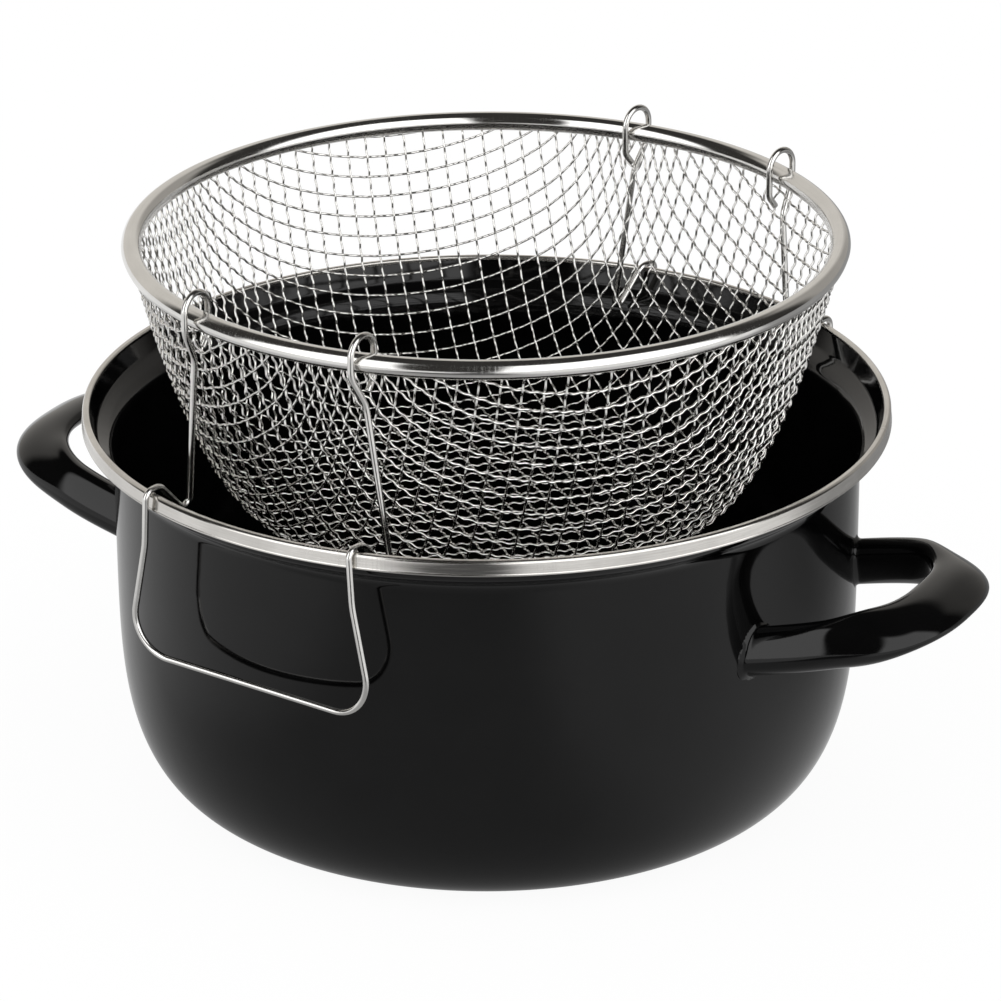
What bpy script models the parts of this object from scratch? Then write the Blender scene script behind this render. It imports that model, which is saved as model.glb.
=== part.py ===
"""Deep fry pot with a wire basket that hangs on the pot's rim to drain.

The pot is an enamelled steel body with a flared lip, a bright trim clipped over the lip's
edge and two loop handles. The basket is one square of woven wire pressed into a bowl and held
in a rolled tubular rim. Two wire bails go round that rim with an eye at each end, hook over
the pot's rim and carry the basket; outside the pot each of them is a grip.

Metres, +Z up. The origin is the middle of the pot's base, and the handles lie along X.
"""

import math

import bmesh
import bpy
from mathutils import Matrix, Vector

MM = 0.001

# The two sizes that the others follow: the pot's height, and the radius of its trim, which is
# its widest circle
POT_HEIGHT = 124.0 * MM
TRIM_RADIUS = 126.0 * MM

# Pot body
LIP_OVERHANG = 9.5 * MM
BASE_INSET = 26.5 * MM
STRAIGHT_WALL_HEIGHT = 40.0 * MM
BODY_WALL = 1.2 * MM
FOOT_RING_WIDTH = 16.0 * MM
BASE_RECESS_DEPTH = 0.8 * MM
CURVE_POWER_ACROSS = 2.0
CURVE_POWER_UP = 4.0
BODY_CURVE_STEPS = 8

# Flared lip at the top of the body
LIP_BEND_RADIUS = 4.0 * MM
LIP_SLOPE = math.radians(44.0)
LIP_EDGE_BEND_RADIUS = 2.2 * MM
LIP_EDGE_DEPTH = 0.9 * MM
BEND_STEPS = 3

# Bright trim clipped over the lip's edge
TRIM_HEIGHT = 5.0 * MM
TRIM_INNER_HEIGHT = 1.4 * MM
TRIM_SHEET = 0.4 * MM
TRIM_TURN = 0.5 * MM

# Loop handles
HANDLE_STAND_OUT = 39.1 * MM
HANDLE_HALF_SPREAD = 36.8 * MM
HANDLE_ROOT_SINK = 1.5 * MM
HANDLE_ROOT_BELOW_RIM = 49.2 * MM
HANDLE_TIP_BELOW_RIM = 36.5 * MM
HANDLE_ROOT_SECTION = (14.8 * MM, 10.6 * MM)
HANDLE_TIP_SECTION = (18.7 * MM, 7.7 * MM)
HANDLE_ROOT_LEAN = math.radians(20.5)
HANDLE_TIP_LEAN = math.radians(71.0)
HANDLE_PLAN_POWER = 2.7
TWIST_START_SHARE = 0.49
HANDLE_STATIONS = 25
HANDLE_SIDES = 12

# Basket
BASKET_RIM_RISE = 52.7 * MM
BASKET_RIM_INSET = 14.1 * MM
BASKET_RIM_TUBE = 6.2 * MM
BASKET_DEPTH = 84.3 * MM
BASKET_WALL_SPREAD = 40.0 * MM
RIM_GROOVE_DEPTH = 1.6 * MM
MESH_PITCH = 17.0 * MM
MESH_WIRE = 1.5 * MM
MESH_TURN = math.radians(45.2)
SMALLEST_OPENING = 2.4 * MM
SPARE_CELLS = 3
SAME_KNOT_SHARE = 0.05
SHORT_WIRE_SHARE = 0.125
RIM_TUBE_SIDES = 11

# Wire bails: an eye round the basket's rim, a leg down into the pot, a foot, a hook over the
# pot's rim and the side of a grip, then the same again back to the other eye
BAIL_WIRE = 2.0 * MM
EYE_WIDTH = 9.2 * MM
EYE_HALF_SPREAD = 30.5 * MM
EYE_RISE = 2.7 * MM
EYE_SIDE_DROP = 3.0 * MM
TAIL_DROP = 6.0 * MM
TAIL_LENGTH = 4.7 * MM
TAIL_SLANT = math.radians(40.0)
TAIL_BEND = 3.0 * MM
NECK_DROP = 13.0 * MM
NECK_HALF_SPREAD = 31.6 * MM
NECK_BEND = 9.0 * MM
FOOT_BELOW_RIM = 13.2 * MM
FOOT_HALF_SPREAD = 38.0 * MM
FOOT_BEND = 2.5 * MM
HOOK_HALF_SPREAD = 37.6 * MM
HOOK_INNER_BEND = 5.0 * MM
HOOK_OUTER_BEND = 2.6 * MM
GRIP_SIDE_BELOW_RIM = 16.0 * MM
GRIP_SIDE_HALF_SPREAD = 38.6 * MM
GRIP_SIDE_BEND = 30.0 * MM
GRIP_HALF_WIDTH = 46.0 * MM
GRIP_BELOW_RIM = 51.5 * MM
GRIP_BEND = 12.0 * MM
BEND_STEP_ANGLE = math.radians(23.0)
FRONT_BAIL_DIRECTION = math.radians(-97.5)
REAR_BAIL_DIRECTION = math.radians(74.8)
WIRE_RESOLUTION = 1

# Clearances between pieces that touch or run in each other
SEAT_GAP = 0.3 * MM
PASSAGE_PLAY = 0.6 * MM
FOOT_PLAY = 6.0 * MM
HOOK_PLAY = 2.1 * MM
CUT_OVERRUN = 5.0 * MM
WELD_DISTANCE = 0.01 * MM

TURN_STEPS = 60
ARC_STEPS = 40
KNOT_TRIES = 30
SLOPE_STEP_SHARE = 0.001
LEAST_SLOPE = 1e-6
CORNER_ANGLE = math.radians(35.0)

# Sizes that follow from the ones above
BODY_RADIUS = TRIM_RADIUS - LIP_OVERHANG
BASE_RADIUS = BODY_RADIUS - BASE_INSET
BASE_RECESS_RADIUS = BASE_RADIUS - FOOT_RING_WIDTH
STRAIGHT_WALL_FROM = POT_HEIGHT - STRAIGHT_WALL_HEIGHT
HANDLE_REACH = TRIM_RADIUS + HANDLE_STAND_OUT
HANDLE_ROOT_HEIGHT = POT_HEIGHT - HANDLE_ROOT_BELOW_RIM
HANDLE_TIP_HEIGHT = POT_HEIGHT - HANDLE_TIP_BELOW_RIM
BASKET_RIM_HEIGHT = POT_HEIGHT + BASKET_RIM_RISE
BASKET_RIM_OUTER_RADIUS = TRIM_RADIUS - BASKET_RIM_INSET
RIM_TUBE_RADIUS = BASKET_RIM_TUBE / 2
RIM_CENTRE_RADIUS = BASKET_RIM_OUTER_RADIUS - RIM_TUBE_RADIUS
BASKET_FLOOR_RADIUS = RIM_CENTRE_RADIUS - BASKET_WALL_SPREAD
BASKET_FLOOR_HEIGHT = BASKET_RIM_HEIGHT - BASKET_DEPTH
MESH_TOP_HEIGHT = BASKET_RIM_HEIGHT - RIM_TUBE_RADIUS + RIM_GROOVE_DEPTH - SEAT_GAP
MESH_TOP_RADIUS = RIM_CENTRE_RADIUS
MESH_EDGE_SAG = MESH_PITCH**2 / (8 * MESH_TOP_RADIUS)
BAIL_RADIUS = BAIL_WIRE / 2
EYE_RADIUS = EYE_WIDTH / 2 + BAIL_RADIUS
TRIM_INNER_RADIUS = TRIM_RADIUS - BODY_WALL - 2 * (TRIM_SHEET + SEAT_GAP)


def remove_everything():
    for thing in list(bpy.data.objects):
        bpy.data.objects.remove(thing, do_unlink=True)


def finish(name, colour, roughness, metallic):
    """A plain material of one colour."""
    material = bpy.data.materials.new(name)
    material.use_nodes = True
    shader = material.node_tree.nodes["Principled BSDF"]
    shader.inputs["Base Color"].default_value = (*colour, 1)
    shader.inputs["Roughness"].default_value = roughness
    shader.inputs["Metallic"].default_value = metallic
    return material


def add_object(name, data, material=None):
    thing = bpy.data.objects.new(name, data)
    bpy.context.scene.collection.objects.link(thing)
    if material:
        data.materials.append(material)
    return thing


def mesh_from(name, shape):
    """Turns a bmesh into a mesh that is shaded smooth but for its corners."""
    mesh = bpy.data.meshes.new(name)
    shape.to_mesh(mesh)
    shape.free()
    mesh.shade_smooth()
    mesh.set_sharp_from_angle(angle=CORNER_ANGLE)
    return mesh


def as_cutter(thing):
    thing.hide_render = True
    thing.display_type = "WIRE"
    return thing


def cut(thing, cutter):
    modifier = thing.modifiers.new("cut", "BOOLEAN")
    modifier.operation = "DIFFERENCE"
    modifier.solver = "EXACT"
    modifier.object = cutter


def bend(before, corner, after, radius, steps=None):
    """The points of an arc that rounds the corner of three points, in any plane. It takes up
    half of the shorter side at most."""
    to_start = (before - corner).normalized()
    to_end = (after - corner).normalized()
    turn = math.pi - to_start.angle(to_end)
    room = min((before - corner).length, (after - corner).length) / 2
    reach = min(radius * math.tan(turn / 2), room)
    radius = reach / math.tan(turn / 2)
    centre = corner + (to_start + to_end).normalized() * radius / math.cos(turn / 2)
    start = corner + to_start * reach - centre
    side = (corner + to_end * reach - centre) - start * math.cos(turn)
    side = side.normalized() * radius
    steps = steps or max(2, math.ceil(turn / BEND_STEP_ANGLE))
    angles = [turn * step / steps for step in range(steps + 1)]
    return [centre + start * math.cos(a) + side * math.sin(a) for a in angles]


def turned(name, profile, closed, material=None):
    """Spins a profile of (radius, height) points round the Z axis."""
    shape = bmesh.new()
    corners = [shape.verts.new((radius, 0, height)) for radius, height in profile]
    ends = corners + corners[:1] if closed else corners
    edges = [shape.edges.new(pair) for pair in zip(ends, ends[1:])]
    bmesh.ops.spin(
        shape,
        geom=corners + edges,
        cent=(0, 0, 0),
        axis=(0, 0, 1),
        angle=math.tau,
        steps=TURN_STEPS,
    )
    bmesh.ops.remove_doubles(shape, verts=shape.verts, dist=WELD_DISTANCE)
    bmesh.ops.recalc_face_normals(shape, faces=shape.faces)
    return add_object(name, mesh_from(name, shape), material)


def beside(profile, distance):
    """The profile moved sideways, to the left of the way it runs; its two ends stay in line."""
    moved = []
    for place, point in enumerate(profile):
        before = profile[max(place - 1, 0)]
        after = profile[min(place + 1, len(profile) - 1)]
        first = (point - before).normalized() if place else (after - point).normalized()
        last = (after - point).normalized() if point != after else first
        left = (first.orthogonal() + last.orthogonal()).normalized()
        moved.append(point + left * distance / left.dot(last.orthogonal()))
    return moved


def way_out(radius, across):
    """How far out a point of a circle round the pot's axis lies, that far beside a middle line."""
    return math.sqrt(radius**2 - across**2)


def body_wall():
    """The outside of the body from its base to the end of the lip, as (radius, height)."""
    curve = []
    for step in range(BODY_CURVE_STEPS + 1):
        angle = math.pi / 2 * step / BODY_CURVE_STEPS
        across = math.sin(angle) ** (2 / CURVE_POWER_ACROSS)
        up = 1 - max(math.cos(angle), 0) ** (2 / CURVE_POWER_UP)
        radius = BASE_RADIUS + (BODY_RADIUS - BASE_RADIUS) * across
        curve.append(Vector((radius, STRAIGHT_WALL_FROM * up)))
    return curve + lip_wall()


def lip_wall():
    """The outside of the lip: up the wall, out along the flare and up again into the trim."""
    edge_radius = TRIM_RADIUS - TRIM_SHEET - SEAT_GAP
    edge_top = Vector((edge_radius, POT_HEIGHT - TRIM_SHEET - SEAT_GAP))
    outer = Vector((edge_radius, POT_HEIGHT - LIP_EDGE_DEPTH - LIP_EDGE_BEND_RADIUS))
    drop = (edge_radius - BODY_RADIUS) / math.tan(LIP_SLOPE)
    inner = Vector((BODY_RADIUS, outer.y - drop))
    foot = Vector((BODY_RADIUS, STRAIGHT_WALL_FROM))
    points = flat_bend(foot, inner, outer, LIP_BEND_RADIUS)
    points += flat_bend(inner, outer, edge_top, LIP_EDGE_BEND_RADIUS)
    return points + [edge_top]


def flat_bend(before, corner, after, radius):
    corners = [point.to_3d() for point in (before, corner, after)]
    return [point.to_2d() for point in bend(*corners, radius, BEND_STEPS)]


def pot_body(material):
    outside = body_wall()
    inside = beside(outside, BODY_WALL)
    recess = [
        Vector((0, BASE_RECESS_DEPTH)),
        Vector((BASE_RECESS_RADIUS - BASE_RECESS_DEPTH, BASE_RECESS_DEPTH)),
        Vector((BASE_RECESS_RADIUS, 0)),
    ]
    floor = [
        Vector((BASE_RECESS_RADIUS, BODY_WALL)),
        Vector((BASE_RECESS_RADIUS - BASE_RECESS_DEPTH, BODY_WALL + BASE_RECESS_DEPTH)),
        Vector((0, BODY_WALL + BASE_RECESS_DEPTH)),
    ]
    turned("pot_body", recess + outside + inside[::-1] + floor, False, material)


def pot_trim(material):
    """A band with a short turned-in edge inside the pot and a tall one outside."""
    outer = TRIM_RADIUS
    inner = TRIM_INNER_RADIUS
    low = POT_HEIGHT - TRIM_HEIGHT
    short = POT_HEIGHT - TRIM_INNER_HEIGHT
    top = POT_HEIGHT
    outside = [(inner, short), (inner, top - TRIM_TURN), (inner + TRIM_TURN, top)]
    outside += [(outer - TRIM_TURN, top), (outer, top - TRIM_TURN), (outer, low)]
    within = [(outer - TRIM_SHEET, low), (outer - TRIM_SHEET, top - TRIM_SHEET)]
    within += [(inner + TRIM_SHEET, top - TRIM_SHEET), (inner + TRIM_SHEET, short)]
    turned("pot_rim_trim", outside + within, True, material)


def handle_path():
    """The middle line of one handle as (radius, across, height), and how far along it turns."""
    widest = HANDLE_HALF_SPREAD + HANDLE_ROOT_SECTION[1] / 2
    root = way_out(BODY_RADIUS, widest) - HANDLE_ROOT_SINK
    middle_radius = HANDLE_REACH - HANDLE_TIP_SECTION[0] / 2 * math.sin(HANDLE_TIP_LEAN)
    places = []
    for step in range(HANDLE_STATIONS):
        angle = math.pi * step / (HANDLE_STATIONS - 1)
        across = math.copysign(abs(math.cos(angle)) ** (2 / HANDLE_PLAN_POWER), math.cos(angle))
        out = max(math.sin(angle), 0) ** (2 / HANDLE_PLAN_POWER)
        radius = root + (middle_radius - root) * out
        height = HANDLE_ROOT_HEIGHT + (HANDLE_TIP_HEIGHT - HANDLE_ROOT_HEIGHT) * out
        places.append((Vector((radius, HANDLE_HALF_SPREAD * across, height)), out))
    return places


def handle_ring(shape, places, step):
    """One oval section, upright at the body and leaning out until it lies flat at the tip."""
    place, out = places[step]
    along = places[min(step + 1, len(places) - 1)][0] - places[max(step - 1, 0)][0]
    along.normalize()
    up = (Vector((0, 0, 1)) - along * along.z).normalized()
    outward = along.cross(up)
    if outward.dot(place - Vector((BODY_RADIUS, 0, place.z))) < 0:
        outward = -outward
    late = min(max((out - TWIST_START_SHARE) / (1 - TWIST_START_SHARE), 0), 1)
    ease = late * late * (3 - 2 * late)
    lean = HANDLE_ROOT_LEAN + (HANDLE_TIP_LEAN - HANDLE_ROOT_LEAN) * ease
    long_way = up * math.cos(lean) - outward * math.sin(lean)
    short_way = up * math.sin(lean) + outward * math.cos(lean)
    long_half, short_half = (
        (root + (tip - root) * ease) / 2
        for root, tip in zip(HANDLE_ROOT_SECTION, HANDLE_TIP_SECTION)
    )
    ring = []
    for side in range(HANDLE_SIDES):
        angle = math.tau * side / HANDLE_SIDES
        point = place + long_way * long_half * math.cos(angle)
        ring.append(shape.verts.new(point + short_way * short_half * math.sin(angle)))
    return ring


def body_cutter():
    """The body's outside with the seat gap added, closed over the top."""
    profile = beside(body_wall(), -SEAT_GAP)
    foot = Vector((0, -CUT_OVERRUN))
    foot_edge = Vector((BASE_RADIUS, -CUT_OVERRUN))
    lid = Vector((0, profile[-1].y))
    return as_cutter(turned("body_cutter", [foot, foot_edge] + profile + [lid], False))


def handle(name, turn, cutter, material):
    shape = bmesh.new()
    places = handle_path()
    rings = [handle_ring(shape, places, step) for step in range(len(places))]
    for ring, following in zip(rings, rings[1:]):
        for side in range(HANDLE_SIDES):
            onward = (side + 1) % HANDLE_SIDES
            shape.faces.new((ring[side], ring[onward], following[onward], following[side]))
    shape.faces.new(rings[0])
    shape.faces.new(rings[-1])
    bmesh.ops.transform(shape, matrix=Matrix.Rotation(turn, 4, "Z"), verts=shape.verts)
    bmesh.ops.recalc_face_normals(shape, faces=shape.faces)
    cut(add_object(name, mesh_from(name, shape), material), cutter)


def rim_tube(material):
    """The rolled rim: a round tube with a groove below that grips the mesh's edge. The edge
    runs straight from wire to wire, so the groove is wider by what that cuts off the circle."""
    half_groove = MESH_WIRE / 2 + MESH_EDGE_SAG + SEAT_GAP
    open_angle = math.asin(half_groove / RIM_TUBE_RADIUS)
    profile = []
    for side in range(RIM_TUBE_SIDES + 1):
        share = side / RIM_TUBE_SIDES
        angle = -math.pi / 2 + open_angle + (math.tau - 2 * open_angle) * share
        radius = RIM_CENTRE_RADIUS + RIM_TUBE_RADIUS * math.cos(angle)
        profile.append((radius, BASKET_RIM_HEIGHT + RIM_TUBE_RADIUS * math.sin(angle)))
    groove_top = BASKET_RIM_HEIGHT - RIM_TUBE_RADIUS + RIM_GROOVE_DEPTH
    profile.append((RIM_CENTRE_RADIUS - half_groove, groove_top))
    profile.append((RIM_CENTRE_RADIUS + half_groove, groove_top))
    turned("basket_rim", profile, True, material)


def bowl_height(radius):
    """The basket is flat in the middle, then rises with the square of the way out. Past the rim
    it goes on rising, so that the net can be trimmed level."""
    out = max(radius - BASKET_FLOOR_RADIUS, 0) / (MESH_TOP_RADIUS - BASKET_FLOOR_RADIUS)
    return BASKET_FLOOR_HEIGHT + (MESH_TOP_HEIGHT - BASKET_FLOOR_HEIGHT) * out * out


def bowl_point(radius, direction):
    return Vector((radius * math.cos(direction), radius * math.sin(direction), bowl_height(radius)))


def on_bowl(x, y):
    return bowl_point(math.hypot(x, y), math.atan2(y, x))


def axis_places(count):
    """Radii of the knots along the net's two middle wires, a pitch apart along the wall."""
    radii = [0.0]
    radius = 0.0
    step = MESH_PITCH / ARC_STEPS
    while len(radii) <= count:
        for _ in range(ARC_STEPS):
            rise = bowl_height(radius + step) - bowl_height(radius)
            radius += step * step / math.hypot(step, rise)
        radii.append(radius)
    return radii


def next_knot(first, second, corner):
    """The knot a pitch away from two neighbours, on the far side from the corner they share."""
    guess = first + second - corner
    x, y = guess.x, guess.y
    for _ in range(KNOT_TRIES):
        point = on_bowl(x, y)
        misses = [(point - end).length - MESH_PITCH for end in (first, second)]
        if max(abs(miss) for miss in misses) < WELD_DISTANCE:
            break
        step = MESH_PITCH * SLOPE_STEP_SHARE
        along_x = (on_bowl(x + step, y) - point) / step
        along_y = (on_bowl(x, y + step) - point) / step
        rows = [
            ((point - end).normalized().dot(along_x), (point - end).normalized().dot(along_y))
            for end in (first, second)
        ]
        scale = rows[0][0] * rows[1][1] - rows[0][1] * rows[1][0]
        if abs(scale) < LEAST_SLOPE:
            return None
        x -= (misses[0] * rows[1][1] - misses[1] * rows[0][1]) / scale
        y -= (rows[0][0] * misses[1] - rows[1][0] * misses[0]) / scale
    return on_bowl(x, y)


def quarter_net(count):
    """Knots of a quarter of the net. Its wires keep their length and shear where they cross,
    as a flat woven square does when it is pressed into a bowl."""
    radii = axis_places(count)
    knots = {}
    for place, radius in enumerate(radii):
        knots[place, 0] = bowl_point(radius, 0)
        knots[0, place] = bowl_point(radius, math.pi / 2)
    for row in range(1, count):
        for column in range(1, count):
            near = [knots.get(key) for key in ((row - 1, column), (row, column - 1))]
            corner = knots.get((row - 1, column - 1))
            if None in near or corner is None or corner.z > MESH_TOP_HEIGHT + MESH_PITCH:
                continue
            knot = next_knot(near[0], near[1], corner)
            if knot is not None:
                knots[row, column] = knot
    return knots


def whole_net():
    """The quarter turned round into a sheet of four-sided cells, and trimmed at the rim."""
    slope_length = math.hypot(MESH_TOP_RADIUS - BASKET_FLOOR_RADIUS, BASKET_DEPTH)
    count = math.ceil((BASKET_FLOOR_RADIUS + slope_length) / MESH_PITCH) + SPARE_CELLS
    knots = quarter_net(count)
    shape = bmesh.new()
    for quarter in range(4):
        turn = Matrix.Rotation(MESH_TURN + quarter * math.pi / 2, 4, "Z")
        for (row, column) in knots:
            corners = ((row, column), (row + 1, column), (row + 1, column + 1), (row, column + 1))
            if all(key in knots for key in corners):
                shape.faces.new([shape.verts.new(turn @ knots[key]) for key in corners])
    bmesh.ops.remove_doubles(shape, verts=shape.verts, dist=MESH_PITCH * SAME_KNOT_SHARE)
    geometry = shape.verts[:] + shape.edges[:] + shape.faces[:]
    level = (0, 0, MESH_TOP_HEIGHT)
    bmesh.ops.bisect_plane(
        shape, geom=geometry, plane_co=level, plane_no=(0, 0, 1), clear_outer=True
    )
    bmesh.ops.remove_doubles(shape, verts=shape.verts, dist=MESH_PITCH * SHORT_WIRE_SHARE)
    for vert in shape.verts:
        if vert.is_boundary:
            place = math.atan2(vert.co.y, vert.co.x)
            vert.co = bowl_point(MESH_TOP_RADIUS, place)
    bmesh.ops.recalc_face_normals(shape, faces=shape.faces)
    shape.normal_update()
    return shape


def has_opening(face):
    """Whether a cell, which the rim may cut short, is wide enough between its wires."""
    perimeter = sum(edge.calc_length() for edge in face.edges)
    return 4 * face.calc_area() / perimeter > MESH_WIRE + SMALLEST_OPENING


def opening_corners(face):
    """The corners of a cell's opening, half a wire in from its sides."""
    corners = []
    for loop in face.loops:
        back = (loop.link_loop_prev.vert.co - loop.vert.co).normalized()
        ahead = (loop.link_loop_next.vert.co - loop.vert.co).normalized()
        way_in = face.normal.cross(ahead - back).normalized()
        half_corner = (math.pi - back.angle(ahead)) / 2
        corners.append(loop.vert.co + way_in * MESH_WIRE / 2 / math.cos(half_corner))
    return corners


def wire_sides(sheet, shape):
    """A ridge outside and one inside each knot, level with it where the rim grips the edge."""
    outer = {}
    inner = {}
    for vert in sheet.verts:
        lift = vert.normal.copy()
        if vert.is_boundary:
            lift.z = 0
        lift = lift.normalized() * MESH_WIRE / 2
        outer[vert.index] = shape.verts.new(vert.co + lift)
        inner[vert.index] = shape.verts.new(vert.co - lift)
    return outer, inner


def cell_sides(shape, face, outer, inner):
    """The wires' slopes round one cell: outside and inside, from the ridges to the opening."""
    holes = [shape.verts.new(corner) for corner in opening_corners(face)]
    around = [vert.index for vert in face.verts]
    for place, key in enumerate(around):
        onward = (place + 1) % len(around)
        following = around[onward]
        shape.faces.new((outer[key], outer[following], holes[onward], holes[place]))
        shape.faces.new((inner[following], inner[key], holes[place], holes[onward]))


def basket_mesh(material):
    """Every wire is a bar of diamond section, and the openings are the cells between them."""
    sheet = whole_net()
    shape = bmesh.new()
    outer, inner = wire_sides(sheet, shape)
    for face in sheet.faces:
        if has_opening(face):
            cell_sides(shape, face, outer, inner)
        else:
            shape.faces.new([outer[vert.index] for vert in face.verts])
            shape.faces.new([inner[vert.index] for vert in reversed(face.verts)])
        for loop in face.loops:
            if loop.edge.is_boundary:
                first, second = loop.vert.index, loop.link_loop_next.vert.index
                shape.faces.new((outer[second], outer[first], inner[first], inner[second]))
    sheet.free()
    net = add_object("basket_mesh", mesh_from("basket_mesh", shape), material)
    for direction in (FRONT_BAIL_DIRECTION, REAR_BAIL_DIRECTION):
        for side in (-1, 1):
            cut(net, eye_passage(direction, side))


def eye_passage(direction, side):
    """Room in the mesh, close below the rim, for the wire of one eye and its swing."""
    shape = bmesh.new()
    bmesh.ops.create_cube(shape, size=1)
    reach = math.hypot(TAIL_DROP + TAIL_LENGTH, EYE_RADIUS) + BAIL_RADIUS
    tall = reach - RIM_TUBE_RADIUS
    size = Matrix.Diagonal((2 * reach, BAIL_WIRE + 2 * PASSAGE_PLAY, tall, 1))
    out = way_out(RIM_CENTRE_RADIUS, EYE_HALF_SPREAD)
    height = BASKET_RIM_HEIGHT - RIM_TUBE_RADIUS - tall / 2
    place = Matrix.Translation((out, side * EYE_HALF_SPREAD, height))
    turn = Matrix.Rotation(direction, 4, "Z")
    bmesh.ops.transform(shape, matrix=turn @ place @ size, verts=shape.verts)
    return as_cutter(add_object("eye_passage", mesh_from("eye_passage", shape)))


def eye_corners():
    """The wire round the basket's rim, from its free end to the leg, with its bends."""
    out = way_out(RIM_CENTRE_RADIUS, EYE_HALF_SPREAD)
    tail = Vector((math.sin(TAIL_SLANT), 0, -math.cos(TAIL_SLANT))) * TAIL_LENGTH
    inner = Vector((out - EYE_RADIUS, EYE_HALF_SPREAD, BASKET_RIM_HEIGHT))
    outer = Vector((out + EYE_RADIUS, EYE_HALF_SPREAD, BASKET_RIM_HEIGHT))
    top = Vector((0, 0, EYE_RISE + EYE_RADIUS))
    low = Vector((0, 0, -TAIL_DROP))
    side = Vector((0, 0, -EYE_SIDE_DROP))
    neck = Vector((out, NECK_HALF_SPREAD, BASKET_RIM_HEIGHT - NECK_DROP))
    return [
        (inner + low + tail, 0),
        (inner + low, TAIL_BEND),
        (inner + top, EYE_RADIUS),
        (outer + top, EYE_RADIUS),
        (outer + side, NECK_BEND),
        (neck, NECK_BEND),
    ]


def hook_corners():
    """The wire from its foot inside the pot to the middle of the grip, with its bends."""
    wall = BODY_RADIUS - BODY_WALL - BAIL_RADIUS
    foot_out = way_out(wall - FOOT_PLAY, FOOT_HALF_SPREAD)
    hook_out = way_out(TRIM_INNER_RADIUS - HOOK_PLAY, HOOK_HALF_SPREAD)
    clear = TRIM_RADIUS + SEAT_GAP + BAIL_RADIUS
    grip_out = way_out(clear, HOOK_HALF_SPREAD - BAIL_RADIUS)
    hook_top = POT_HEIGHT + SEAT_GAP + BAIL_RADIUS
    side_height = POT_HEIGHT - GRIP_SIDE_BELOW_RIM
    grip_height = POT_HEIGHT - GRIP_BELOW_RIM
    return [
        (Vector((foot_out, FOOT_HALF_SPREAD, POT_HEIGHT - FOOT_BELOW_RIM)), FOOT_BEND),
        (Vector((hook_out, HOOK_HALF_SPREAD, hook_top)), HOOK_INNER_BEND),
        (Vector((grip_out, HOOK_HALF_SPREAD, hook_top)), HOOK_OUTER_BEND),
        (Vector((grip_out, GRIP_SIDE_HALF_SPREAD, side_height)), GRIP_SIDE_BEND),
        (Vector((grip_out, GRIP_HALF_WIDTH, grip_height)), GRIP_BEND),
        (Vector((grip_out, 0, grip_height)), 0),
    ]


def bail_half():
    """One half of a bail's wire, from its free end to the middle of its grip, as points of
    (way the bail faces, along the rim, height)."""
    corners = eye_corners() + hook_corners()
    wire = [corners[0][0]]
    for (before, _), (corner, radius), (after, _) in zip(corners, corners[1:], corners[2:]):
        for point in bend(before, corner, after, radius):
            if (point - wire[-1]).length > WELD_DISTANCE:
                wire.append(point)
    return wire


def bail(name, direction, material):
    """The whole wire, with its origin on the line that it swings about: the middle line of the
    rim's tube from eye to eye."""
    half = bail_half()
    mirrored = [Vector((point.x, -point.y, point.z)) for point in reversed(half)]
    out = way_out(RIM_CENTRE_RADIUS, EYE_HALF_SPREAD)
    origin = Vector((out, 0, BASKET_RIM_HEIGHT))
    points = [point - origin for point in half + mirrored]
    data = bpy.data.curves.new(name, "CURVE")
    data.dimensions = "3D"
    data.bevel_depth = BAIL_RADIUS
    data.bevel_resolution = WIRE_RESOLUTION
    data.use_fill_caps = True
    spline = data.splines.new("POLY")
    spline.points.add(len(points) - 1)
    for target, point in zip(spline.points, points):
        target.co = (*point, 1)
    thing = add_object(name, data, material)
    turn = Matrix.Rotation(direction, 4, "Z")
    thing.matrix_world = turn @ Matrix.Translation(origin)


def main():
    remove_everything()
    enamel = finish("black_enamel", (0.012, 0.012, 0.013), 0.12, 0.0)
    polished = finish("polished_steel", (0.72, 0.70, 0.67), 0.18, 1.0)
    wire = finish("bright_wire", (0.70, 0.68, 0.65), 0.28, 1.0)
    pot_body(enamel)
    pot_trim(polished)
    cutter = body_cutter()
    handle("right_handle", 0.0, cutter, enamel)
    handle("left_handle", math.pi, cutter, enamel)
    rim_tube(polished)
    basket_mesh(wire)
    bail("front_bail", FRONT_BAIL_DIRECTION, wire)
    bail("rear_bail", REAR_BAIL_DIRECTION, wire)


main()
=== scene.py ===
"""Looks of a deep fry pot with a wire basket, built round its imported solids.

Lengths are in metres, and MM turns millimetres into them. The middle of the pot's base is the
origin, +Z is up and the handles lie along X. The photograph is taken from 28 degrees to the right
of -Y.
"""

import math

import bmesh
import bpy
from mathutils import Matrix, Vector

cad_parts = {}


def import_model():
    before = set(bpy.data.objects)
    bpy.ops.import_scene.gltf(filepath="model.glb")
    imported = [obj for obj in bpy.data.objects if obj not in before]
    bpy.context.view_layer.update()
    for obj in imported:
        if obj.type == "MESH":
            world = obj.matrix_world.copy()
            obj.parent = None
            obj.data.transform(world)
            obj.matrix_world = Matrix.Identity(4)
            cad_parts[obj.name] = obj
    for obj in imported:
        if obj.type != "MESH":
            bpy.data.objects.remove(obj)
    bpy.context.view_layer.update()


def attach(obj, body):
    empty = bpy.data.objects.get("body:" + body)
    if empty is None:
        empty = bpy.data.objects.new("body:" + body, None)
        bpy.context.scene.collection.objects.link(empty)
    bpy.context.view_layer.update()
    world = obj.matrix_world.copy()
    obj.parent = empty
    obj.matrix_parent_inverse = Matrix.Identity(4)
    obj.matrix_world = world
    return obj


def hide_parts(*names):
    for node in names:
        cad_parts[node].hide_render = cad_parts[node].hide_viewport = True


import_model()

MM = 0.001
UP = Vector((0, 0, 1))

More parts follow.
